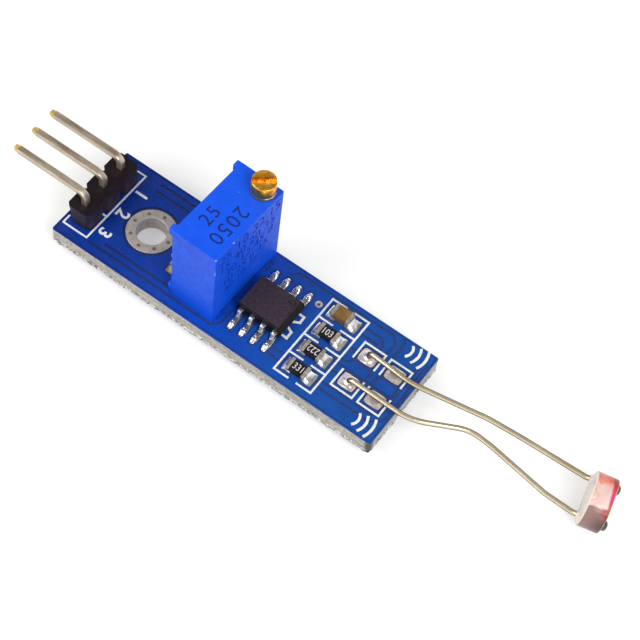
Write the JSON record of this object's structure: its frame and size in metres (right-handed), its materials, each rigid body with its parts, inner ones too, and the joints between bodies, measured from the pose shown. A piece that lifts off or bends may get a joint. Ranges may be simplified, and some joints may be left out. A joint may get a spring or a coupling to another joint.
{
  "type": "light sensor module",
  "caption": "Narrow circuit board with a right-angle pin header, a multiturn trimmer, a comparator chip and a light dependent resistor on long leads.",
  "frame": {"origin": "on the axis of the mounting hole, at the underside of the board laminate", "axes": "+X along the board from the pin header towards the light sensor, +Y across the board towards the end of the trimmer with the screw, +Z out of the face that carries the parts"},
  "size_m": [0.0631, 0.011, 0.015],
  "materials": {
    "laminate": "rough cut edge",
    "mask": "glossy blue coat over copper",
    "print": "white print",
    "plated": "tinned copper",
    "pin_metal": "tinned",
    "black_plastic": "matt moulded",
    "solder": "bright solder",
    "blue_case": "satin moulded",
    "seal": "cast resin",
    "ceramic": "white ceramic",
    "carbon": "resistive film",
    "brass": "machined",
    "pale_plastic": "moulded",
    "spring_metal": "sheet",
    "chip_black": "moulded epoxy",
    "resistor_black": "glass coat",
    "capacitor_brown": "ceramic",
    "lead_metal": "tinned wire",
    "track_red": "light sensitive film",
    "electrode": "metal film",
    "resin": "clear cast resin"
  },
  "bodies": {
    "module": {"circuit_board": "laminate", "top_cover": "mask", "bottom_cover": "mask", "mounting_ring": "plated", "via_ring": "plated", "printed_lines": "print", "header_insulator": "black_plastic", "header_pin_1": "pin_metal", "header_pin_2": "pin_metal", "header_pin_3": "pin_metal", "header_solder": "solder", "trimmer_case": "blue_case", "trimmer_base": "seal", "trimmer_element": "ceramic", "trimmer_track": "carbon", "trimmer_carriage": "pale_plastic", "trimmer_wiper": "spring_metal", "trimmer_pins": "pin_metal", "trimmer_solder": "solder", "chip_body": "chip_black", "chip_leads": "pin_metal", "chip_solder": "solder", "resistor_1": "resistor_black", "resistor_2": "resistor_black", "resistor_3": "resistor_black", "capacitor": "capacitor_brown", "part_end_caps": "solder", "part_solder": "solder", "side_part_body": "pale_plastic", "side_part_ends": "solder", "side_part_solder": "solder", "sensor_lead_1": "lead_metal", "sensor_lead_2": "lead_metal", "sensor_solder": "solder", "spare_solder": "solder", "sensor_ceramic": "ceramic", "sensor_track": "track_red", "sensor_electrodes": "electrode", "sensor_resin": "resin"},
    "adjuster": {"trimmer_screw": "brass"}
  },
  "joints": [
    {"name": "adjuster_turn", "type": "hinge", "parent": "module", "child": "adjuster", "pos_m": [0.0091, 0.00413, 0.012], "axis": [0, 0, 1], "range_deg": [-4500, 4500]}
  ]
}
